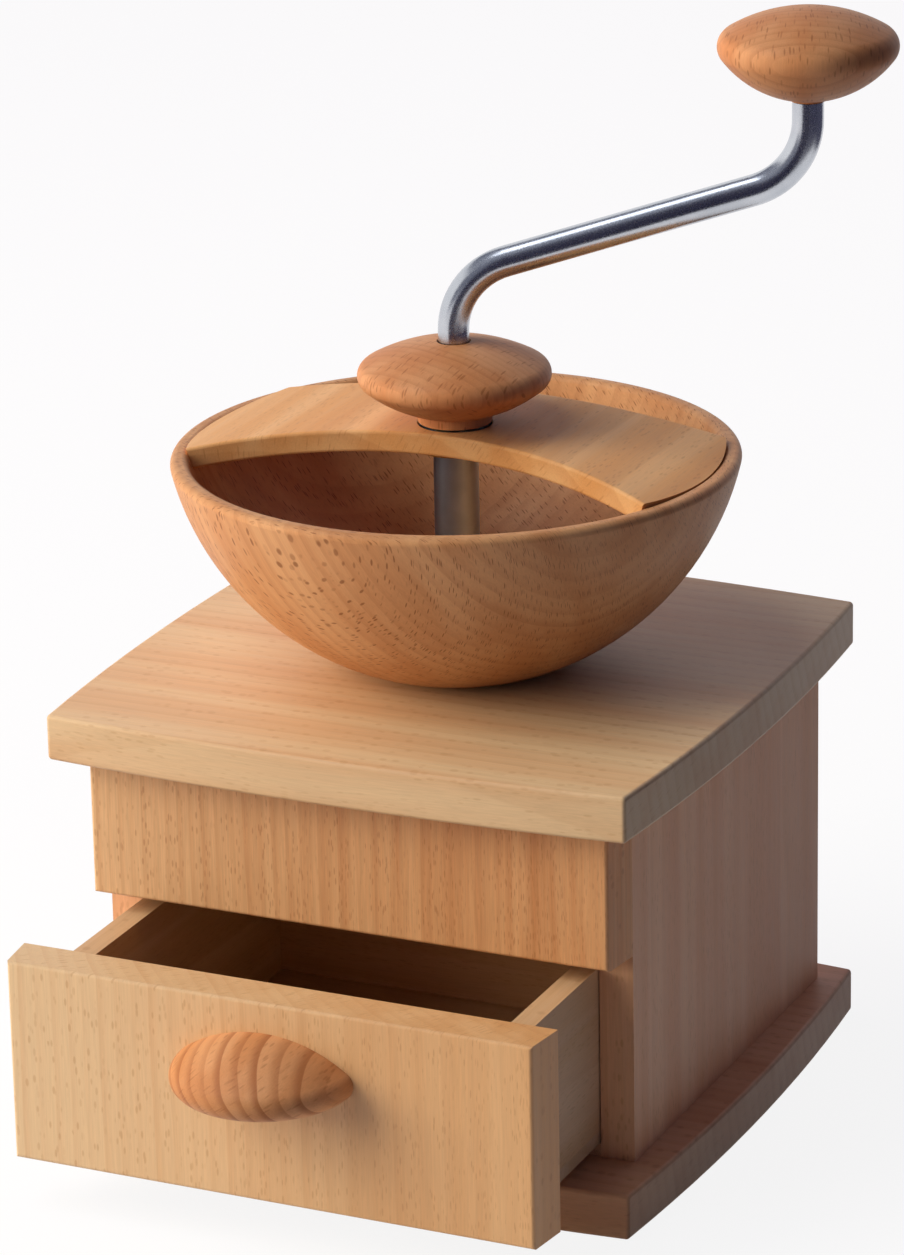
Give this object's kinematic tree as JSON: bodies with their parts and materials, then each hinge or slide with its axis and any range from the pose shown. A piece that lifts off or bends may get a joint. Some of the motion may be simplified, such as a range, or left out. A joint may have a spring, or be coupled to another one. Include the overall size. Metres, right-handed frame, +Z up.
{
  "type": "grain mill",
  "caption": "Wooden hand grain mill with a round hopper bowl, a bent crank with a turned grip, a knob that sets the stones and a drawer for the meal.",
  "frame": {"origin": "centre of the underside of the base, on the spindle axis", "axes": "+Z up along the spindle, -Y towards the front where the drawer opens, +X to the right seen from the front"},
  "size_m": [0.2403, 0.2827, 0.3649],
  "materials": {
    "beech": "oiled",
    "beech_bowl": "oiled",
    "beech_knob": "oiled",
    "steel": "drawn",
    "brass": "turned",
    "cast_iron": "cast",
    "millstone": "rough"
  },
  "bodies": {
    "case": {"base_plate": "beech", "top_plate": "beech", "left_side_panel": "beech", "right_side_panel": "beech", "back_panel": "beech", "front_rail": "beech", "left_runner": "beech", "right_runner": "beech", "hopper_bowl": "beech_bowl", "bowl_screw_1": "steel", "bowl_screw_2": "steel", "bowl_screw_3": "steel", "bridge_board": "beech_bowl", "bridge_bush": "brass", "bridge_nut": "steel", "stone_holder": "steel", "holder_screw_1": "steel", "holder_screw_2": "steel", "holder_screw_3": "steel", "fixed_stone": "millstone", "eye_spider": "cast_iron", "guide_bush": "brass"},
    "lift": {"thrust_washer": "steel"},
    "adjuster": {"adjuster_knob": "beech_knob", "adjuster_cup": "steel"},
    "spindle": {"spindle": "steel", "spindle_collar": "steel", "collar_pin": "steel", "runner_carrier": "steel", "runner_stone": "millstone", "runner_nut": "steel", "crank_bar": "steel", "grip_clip": "steel"},
    "grip": {"crank_grip": "beech_knob", "grip_sleeve": "brass"},
    "drawer": {"drawer_front": "beech", "drawer_left_side": "beech", "drawer_right_side": "beech", "drawer_back": "beech", "drawer_bottom": "beech", "drawer_pull": "beech_knob", "pull_screw_1": "steel", "pull_screw_2": "steel"}
  },
  "joints": [
    {"name": "grind_lift", "type": "slide", "parent": "case", "child": "lift", "axis": [0, 0, 1], "range_m": [0, 0.0015]},
    {"name": "adjuster_turn", "type": "hinge", "parent": "lift", "child": "adjuster", "pos_m": [0, 0, 0.2425], "axis": [0, 0, 1], "range_deg": [-1, 217]},
    {"name": "crank_spin", "type": "hinge", "parent": "lift", "child": "spindle", "pos_m": [0, 0, 0.2425], "axis": [0, 0, 1], "continuous": true},
    {"name": "grip_spin", "type": "hinge", "parent": "spindle", "child": "grip", "pos_m": [0.10698, 0.03684, 0.3529], "axis": [0, 0, 1], "continuous": true},
    {"name": "drawer_slide", "type": "slide", "parent": "case", "child": "drawer", "axis": [0, -1, 0], "range_m": [-0.0587, 0.066]}
  ],
  "couplings": [
    {"joint": "adjuster_turn", "follows": "grind_lift", "rad_per_m": 2513.3}
  ]
}
